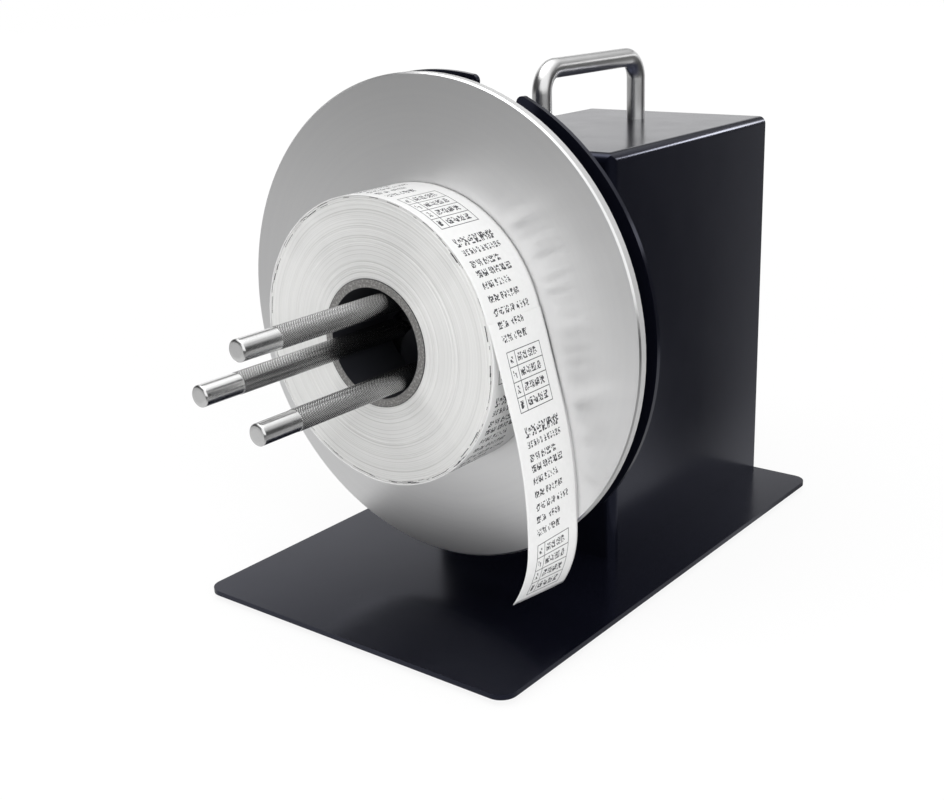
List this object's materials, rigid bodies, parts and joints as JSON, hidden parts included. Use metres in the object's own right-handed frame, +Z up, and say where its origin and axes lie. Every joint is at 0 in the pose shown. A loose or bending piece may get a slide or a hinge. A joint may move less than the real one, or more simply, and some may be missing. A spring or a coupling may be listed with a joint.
{
  "type": "label rewinder",
  "caption": "Desktop label rewinder: a motor box with a carry handle on a base plate turns paired round plates whose sliding rods grip a roll's core, and a label strip hangs from the roll.",
  "frame": {"origin": "on the ground, under the middle of the machine's box in width and in depth", "axes": "+X to the machine's right as seen from the roll's side, +Y from the roll to the back of the motor box, along the spindle, +Z up"},
  "size_m": [0.23, 0.3646, 0.2529],
  "materials": {
    "black_powder_coat": "satin black",
    "bright_aluminium": "turned and clear anodised",
    "hub_aluminium": "plain",
    "polished_steel": "polished",
    "ground_steel": "ground",
    "plated_steel": "zinc plated",
    "black_steel": "blackened",
    "bearing_steel": "polished",
    "brass": "plain",
    "rubber": "matte",
    "black_plastic": "fine grain",
    "green_laminate": "satin",
    "green_plastic": "satin",
    "blue_sleeve": "glossy",
    "green_lens": "clear green",
    "card": "grey-brown card",
    "label_stock": "white label stock on its liner"
  },
  "bodies": {
    "chassis": {"base_plate": "black_powder_coat", "rubber_feet": "rubber", "base_screws": "black_steel", "housing_shell": "black_powder_coat", "rear_panel": "black_powder_coat", "rear_panel_screws": "plated_steel", "carry_handle": "polished_steel", "handle_screws": "plated_steel", "bearing_housing": "black_powder_coat", "bearing_housing_screws": "black_steel", "bearing_housing_nuts": "plated_steel", "bearing_outer_rings": "bearing_steel", "bearing_spacer": "plated_steel", "bearing_circlip": "black_steel", "motor_bracket": "plated_steel", "bracket_screws": "black_steel", "gearbox": "plated_steel", "gearbox_screws": "plated_steel", "drive_motor": "plated_steel", "control_board": "green_laminate", "board_standoffs": "brass", "board_screws": "plated_steel", "terminal_blocks": "green_plastic", "smoothing_capacitor": "blue_sleeve", "power_transistor": "black_plastic", "heat_sink": "hub_aluminium", "speed_potentiometer": "plated_steel", "potentiometer_nut": "plated_steel", "switch_body": "black_plastic", "dc_socket": "black_plastic", "dc_socket_nut": "plated_steel", "power_led": "green_lens"},
    "spindle": {"spindle_shaft": "ground_steel", "shaft_circlips": "black_steel", "bearing_inner_rings": "bearing_steel", "bearing_balls": "bearing_steel", "bearing_cages": "brass", "drive_hub": "hub_aluminium", "hub_screws": "black_steel", "hub_set_screws": "black_steel", "rear_plate": "black_powder_coat", "end_washer": "black_steel", "clamp_screw": "black_steel", "shaft_coupling": "hub_aluminium", "coupling_set_screws": "black_steel", "gearbox_shaft": "ground_steel"},
    "flange": {"front_plate": "bright_aluminium"},
    "core_rod_1": {"rod_1": "ground_steel", "slider_1": "black_plastic"},
    "core_rod_2": {"rod_2": "ground_steel", "slider_2": "black_plastic"},
    "core_rod_3": {"rod_3": "ground_steel", "slider_3": "black_plastic"},
    "roll": {"roll_core": "card", "label_roll": "label_stock"},
    "loose_end": {"label_tail": "label_stock"},
    "knob": {"speed_knob": "black_plastic", "potentiometer_shaft": "ground_steel"},
    "switch_rocker": {"rocker": "black_plastic"}
  },
  "joints": [
    {"name": "spindle_spin", "type": "hinge", "parent": "chassis", "child": "spindle", "pos_m": [0, -0.0587, 0.1379], "axis": [0, 1, 0], "continuous": true},
    {"name": "flange_turn", "type": "hinge", "parent": "spindle", "child": "flange", "pos_m": [0, -0.0587, 0.1379], "axis": [0, 1, 0], "range_deg": [-14.75, 0]},
    {"name": "rod_slide_1", "type": "slide", "parent": "spindle", "child": "core_rod_1", "axis": [0.3007, 0, 0.9537], "range_m": [-0.0059, 0]},
    {"name": "rod_slide_2", "type": "slide", "parent": "spindle", "child": "core_rod_2", "axis": [-0.9763, 0, -0.2164], "range_m": [-0.0059, 0]},
    {"name": "rod_slide_3", "type": "slide", "parent": "spindle", "child": "core_rod_3", "axis": [0.6756, 0, -0.7373], "range_m": [-0.0059, 0]},
    {"name": "roll_slide", "type": "slide", "parent": "spindle", "child": "roll", "axis": [0, -1, 0], "range_m": [0, 0.13]},
    {"name": "loose_end_hang", "type": "hinge", "parent": "roll", "child": "loose_end", "pos_m": [0, -0.0587, 0.1379], "axis": [0, 1, 0], "continuous": true},
    {"name": "knob_turn", "type": "hinge", "parent": "chassis", "child": "knob", "pos_m": [0.027, 0.1713, 0.0835], "axis": [0, -1, 0], "range_deg": [0, 280]},
    {"name": "rocker_tilt", "type": "hinge", "parent": "chassis", "child": "switch_rocker", "pos_m": [-0.027, 0.1613, 0.0835], "axis": [1, 0, 0], "range_deg": [-12, 12]}
  ],
  "couplings": [
    {"joint": "rod_slide_1", "follows": "flange_turn", "m_per_rad": 0.022918},
    {"joint": "rod_slide_2", "follows": "flange_turn", "m_per_rad": 0.022918},
    {"joint": "rod_slide_3", "follows": "flange_turn", "m_per_rad": 0.022918},
    {"joint": "loose_end_hang", "follows": "spindle_spin", "ratio": -1}
  ]
}
